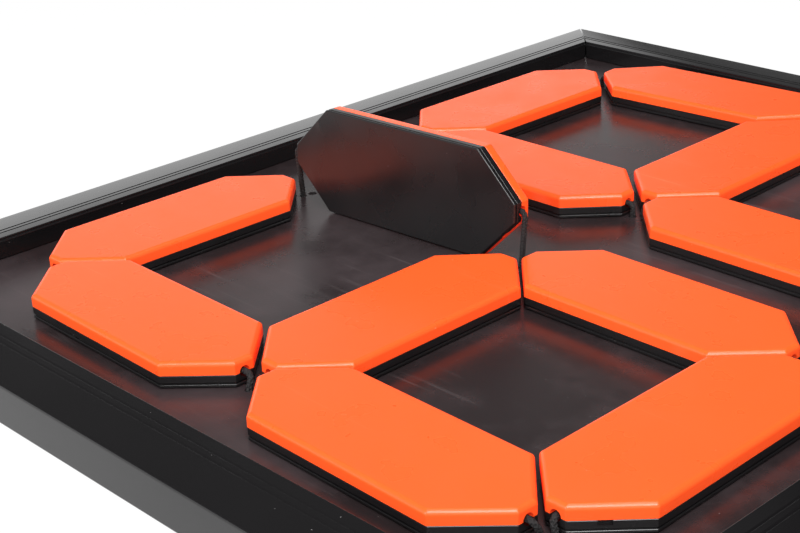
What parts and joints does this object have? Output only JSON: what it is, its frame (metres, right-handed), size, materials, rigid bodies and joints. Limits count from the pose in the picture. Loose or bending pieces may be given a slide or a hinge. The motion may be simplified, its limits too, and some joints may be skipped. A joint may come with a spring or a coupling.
{
  "type": "substitution board",
  "caption": "Flat framed board with digits made of two-coloured bars, each pulled up on an elastic cord and turned over to show its orange or its black face.",
  "frame": {"origin": "under the middle of the frame, on the surface that the board lies on", "axes": "+X along the row of digits, from the left one to the right one; +Y up the digits; +Z out of the panel, towards the reader"},
  "size_m": [0.416, 0.3494, 0.0491],
  "materials": {
    "orange_plastic": "satin",
    "black_plastic": "satin",
    "panel_black": "satin",
    "frame_black": "glossy",
    "key_grey": "matt",
    "black_elastic": "braided"
  },
  "bodies": {
    "board": {"panel": "panel_black", "rail_top": "frame_black", "rail_left": "frame_black", "rail_bottom": "frame_black", "rail_right": "frame_black", "corner_key_top_right": "key_grey", "corner_key_top_left": "key_grey", "corner_key_bottom_left": "key_grey", "corner_key_bottom_right": "key_grey"},
    "tens_top_elastic": {"tens_top_elastic": "black_elastic"},
    "tens_top_segment": {"tens_top_orange_cover": "orange_plastic", "tens_top_black_cover": "black_plastic"},
    "tens_upper_left_elastic": {"tens_upper_left_elastic": "black_elastic"},
    "tens_upper_left_segment": {"tens_upper_left_orange_cover": "orange_plastic", "tens_upper_left_black_cover": "black_plastic"},
    "tens_upper_right_elastic": {"tens_upper_right_elastic": "black_elastic"},
    "tens_upper_right_segment": {"tens_upper_right_orange_cover": "orange_plastic", "tens_upper_right_black_cover": "black_plastic"},
    "tens_middle_elastic": {"tens_middle_elastic": "black_elastic"},
    "tens_middle_segment": {"tens_middle_orange_cover": "orange_plastic", "tens_middle_black_cover": "black_plastic"},
    "tens_lower_left_elastic": {"tens_lower_left_elastic": "black_elastic"},
    "tens_lower_left_segment": {"tens_lower_left_orange_cover": "orange_plastic", "tens_lower_left_black_cover": "black_plastic"},
    "tens_lower_right_elastic": {"tens_lower_right_elastic": "black_elastic"},
    "tens_lower_right_segment": {"tens_lower_right_orange_cover": "orange_plastic", "tens_lower_right_black_cover": "black_plastic"},
    "tens_bottom_elastic": {"tens_bottom_elastic": "black_elastic"},
    "tens_bottom_segment": {"tens_bottom_orange_cover": "orange_plastic", "tens_bottom_black_cover": "black_plastic"},
    "units_top_elastic": {"units_top_elastic": "black_elastic"},
    "units_top_segment": {"units_top_orange_cover": "orange_plastic", "units_top_black_cover": "black_plastic"},
    "units_upper_left_elastic": {"units_upper_left_elastic": "black_elastic"},
    "units_upper_left_segment": {"units_upper_left_orange_cover": "orange_plastic", "units_upper_left_black_cover": "black_plastic"},
    "units_upper_right_elastic": {"units_upper_right_elastic": "black_elastic"},
    "units_upper_right_segment": {"units_upper_right_orange_cover": "orange_plastic", "units_upper_right_black_cover": "black_plastic"},
    "units_middle_elastic": {"units_middle_elastic": "black_elastic"},
    "units_middle_segment": {"units_middle_orange_cover": "orange_plastic", "units_middle_black_cover": "black_plastic"},
    "units_lower_left_elastic": {"units_lower_left_elastic": "black_elastic"},
    "units_lower_left_segment": {"units_lower_left_orange_cover": "orange_plastic", "units_lower_left_black_cover": "black_plastic"},
    "units_lower_right_elastic": {"units_lower_right_elastic": "black_elastic"},
    "units_lower_right_segment": {"units_lower_right_orange_cover": "orange_plastic", "units_lower_right_black_cover": "black_plastic"},
    "units_bottom_elastic": {"units_bottom_elastic": "black_elastic"},
    "units_bottom_segment": {"units_bottom_orange_cover": "orange_plastic", "units_bottom_black_cover": "black_plastic"}
  },
  "joints": [
    {"name": "tens_top_lift", "type": "slide", "parent": "board", "child": "tens_top_elastic", "axis": [0, 0, 1], "range_m": [0, 0.032], "stiffness_N_per_m": 60, "springref_m": -0.01, "deforming": ["tens_top_elastic"]},
    {"name": "tens_top_turn", "type": "hinge", "parent": "tens_top_elastic", "child": "tens_top_segment", "pos_m": [-0.0913, 0.1211, 0.01295], "axis": [0.9999, -0.0117, 0], "range_deg": [0, 90]},
    {"name": "tens_upper_left_lift", "type": "slide", "parent": "board", "child": "tens_upper_left_elastic", "axis": [0, 0, 1], "range_m": [0, 0.032], "stiffness_N_per_m": 60, "springref_m": -0.01, "deforming": ["tens_upper_left_elastic"]},
    {"name": "tens_upper_left_turn", "type": "hinge", "parent": "tens_upper_left_elastic", "child": "tens_upper_left_segment", "pos_m": [-0.1489, 0.0624, 0.01295], "axis": [0.0232, 0.9997, 0], "range_deg": [0, 90]},
    {"name": "tens_upper_right_lift", "type": "slide", "parent": "board", "child": "tens_upper_right_elastic", "axis": [0, 0, 1], "range_m": [0, 0.012], "stiffness_N_per_m": 60, "springref_m": -0.01, "deforming": ["tens_upper_right_elastic"]},
    {"name": "tens_upper_right_turn", "type": "hinge", "parent": "tens_upper_right_elastic", "child": "tens_upper_right_segment", "pos_m": [-0.0311, 0.059, 0.029], "axis": [-0.0645, 0.9979, 0], "range_deg": [-90, 90]},
    {"name": "tens_middle_lift", "type": "slide", "parent": "board", "child": "tens_middle_elastic", "axis": [0, 0, 1], "range_m": [0, 0.032], "stiffness_N_per_m": 60, "springref_m": -0.01, "deforming": ["tens_middle_elastic"]},
    {"name": "tens_middle_turn", "type": "hinge", "parent": "tens_middle_elastic", "child": "tens_middle_segment", "pos_m": [-0.0927, 0.0009, 0.01295], "axis": [1, 0.0052, 0], "range_deg": [0, 90]},
    {"name": "tens_lower_left_lift", "type": "slide", "parent": "board", "child": "tens_lower_left_elastic", "axis": [0, 0, 1], "range_m": [0, 0.032], "stiffness_N_per_m": 60, "springref_m": -0.01, "deforming": ["tens_lower_left_elastic"]},
    {"name": "tens_lower_left_turn", "type": "hinge", "parent": "tens_lower_left_elastic", "child": "tens_lower_left_segment", "pos_m": [-0.1524, -0.0574, 0.01295], "axis": [0.0232, 0.9997, 0], "range_deg": [0, 90]},
    {"name": "tens_lower_right_lift", "type": "slide", "parent": "board", "child": "tens_lower_right_elastic", "axis": [0, 0, 1], "range_m": [0, 0.032], "stiffness_N_per_m": 60, "springref_m": -0.01, "deforming": ["tens_lower_right_elastic"]},
    {"name": "tens_lower_right_turn", "type": "hinge", "parent": "tens_lower_right_elastic", "child": "tens_lower_right_segment", "pos_m": [-0.0343, -0.0571, 0.01295], "axis": [0.0133, 0.9999, 0], "range_deg": [0, 90]},
    {"name": "tens_bottom_lift", "type": "slide", "parent": "board", "child": "tens_bottom_elastic", "axis": [0, 0, 1], "range_m": [0, 0.032], "stiffness_N_per_m": 60, "springref_m": -0.01, "deforming": ["tens_bottom_elastic"]},
    {"name": "tens_bottom_turn", "type": "hinge", "parent": "tens_bottom_elastic", "child": "tens_bottom_segment", "pos_m": [-0.0937, -0.115, 0.01295], "axis": [1, 0.007, 0], "range_deg": [0, 90]},
    {"name": "units_top_lift", "type": "slide", "parent": "board", "child": "units_top_elastic", "axis": [0, 0, 1], "range_m": [0, 0.032], "stiffness_N_per_m": 60, "springref_m": -0.01, "deforming": ["units_top_elastic"]},
    {"name": "units_top_turn", "type": "hinge", "parent": "units_top_elastic", "child": "units_top_segment", "pos_m": [0.092, 0.1203, 0.01295], "axis": [1, -0.0087, 0], "range_deg": [0, 90]},
    {"name": "units_upper_left_lift", "type": "slide", "parent": "board", "child": "units_upper_left_elastic", "axis": [0, 0, 1], "range_m": [0, 0.032], "stiffness_N_per_m": 60, "springref_m": -0.01, "deforming": ["units_upper_left_elastic"]},
    {"name": "units_upper_left_turn", "type": "hinge", "parent": "units_upper_left_elastic", "child": "units_upper_left_segment", "pos_m": [0.0334, 0.0616, 0.01295], "axis": [-0.0093, 1, 0], "range_deg": [0, 90]},
    {"name": "units_upper_right_lift", "type": "slide", "parent": "board", "child": "units_upper_right_elastic", "axis": [0, 0, 1], "range_m": [0, 0.032], "stiffness_N_per_m": 60, "springref_m": -0.01, "deforming": ["units_upper_right_elastic"]},
    {"name": "units_upper_right_turn", "type": "hinge", "parent": "units_upper_right_elastic", "child": "units_upper_right_segment", "pos_m": [0.1543, 0.0598, 0.01295], "axis": [-0.0623, 0.9981, 0], "range_deg": [0, 90]},
    {"name": "units_middle_lift", "type": "slide", "parent": "board", "child": "units_middle_elastic", "axis": [0, 0, 1], "range_m": [0, 0.032], "stiffness_N_per_m": 60, "springref_m": -0.01, "deforming": ["units_middle_elastic"]},
    {"name": "units_middle_turn", "type": "hinge", "parent": "units_middle_elastic", "child": "units_middle_segment", "pos_m": [0.0925, 0.0019, 0.01295], "axis": [1, 0.0096, 0], "range_deg": [0, 90]},
    {"name": "units_lower_left_lift", "type": "slide", "parent": "board", "child": "units_lower_left_elastic", "axis": [0, 0, 1], "range_m": [0, 0.032], "stiffness_N_per_m": 60, "springref_m": -0.01, "deforming": ["units_lower_left_elastic"]},
    {"name": "units_lower_left_turn", "type": "hinge", "parent": "units_lower_left_elastic", "child": "units_lower_left_segment", "pos_m": [0.0321, -0.0572, 0.01295], "axis": [0.0127, 0.9999, 0], "range_deg": [0, 90]},
    {"name": "units_lower_right_lift", "type": "slide", "parent": "board", "child": "units_lower_right_elastic", "axis": [0, 0, 1], "range_m": [0, 0.032], "stiffness_N_per_m": 60, "springref_m": -0.01, "deforming": ["units_lower_right_elastic"]},
    {"name": "units_lower_right_turn", "type": "hinge", "parent": "units_lower_right_elastic", "child": "units_lower_right_segment", "pos_m": [0.1517, -0.0572, 0.01295], "axis": [0, 1, 0], "range_deg": [0, 90]},
    {"name": "units_bottom_lift", "type": "slide", "parent": "board", "child": "units_bottom_elastic", "axis": [0, 0, 1], "range_m": [0, 0.032], "stiffness_N_per_m": 60, "springref_m": -0.01, "deforming": ["units_bottom_elastic"]},
    {"name": "units_bottom_turn", "type": "hinge", "parent": "units_bottom_elastic", "child": "units_bottom_segment", "pos_m": [0.0925, -0.1164, 0.01295], "axis": [1, 0, 0], "range_deg": [0, 90]}
  ],
  "couplings": [
    {"joint": "tens_top_turn", "follows": "tens_top_lift", "rad_per_m": 49.08},
    {"joint": "tens_upper_left_turn", "follows": "tens_upper_left_lift", "rad_per_m": 49.08},
    {"joint": "tens_middle_turn", "follows": "tens_middle_lift", "rad_per_m": 49.08},
    {"joint": "tens_lower_left_turn", "follows": "tens_lower_left_lift", "rad_per_m": 49.08},
    {"joint": "tens_lower_right_turn", "follows": "tens_lower_right_lift", "rad_per_m": 49.08},
    {"joint": "tens_bottom_turn", "follows": "tens_bottom_lift", "rad_per_m": 49.08},
    {"joint": "units_top_turn", "follows": "units_top_lift", "rad_per_m": 49.08},
    {"joint": "units_upper_left_turn", "follows": "units_upper_left_lift", "rad_per_m": 49.08},
    {"joint": "units_upper_right_turn", "follows": "units_upper_right_lift", "rad_per_m": 49.08},
    {"joint": "units_middle_turn", "follows": "units_middle_lift", "rad_per_m": 49.08},
    {"joint": "units_lower_left_turn", "follows": "units_lower_left_lift", "rad_per_m": 49.08},
    {"joint": "units_lower_right_turn", "follows": "units_lower_right_lift", "rad_per_m": 49.08},
    {"joint": "units_bottom_turn", "follows": "units_bottom_lift", "rad_per_m": 49.08}
  ]
}
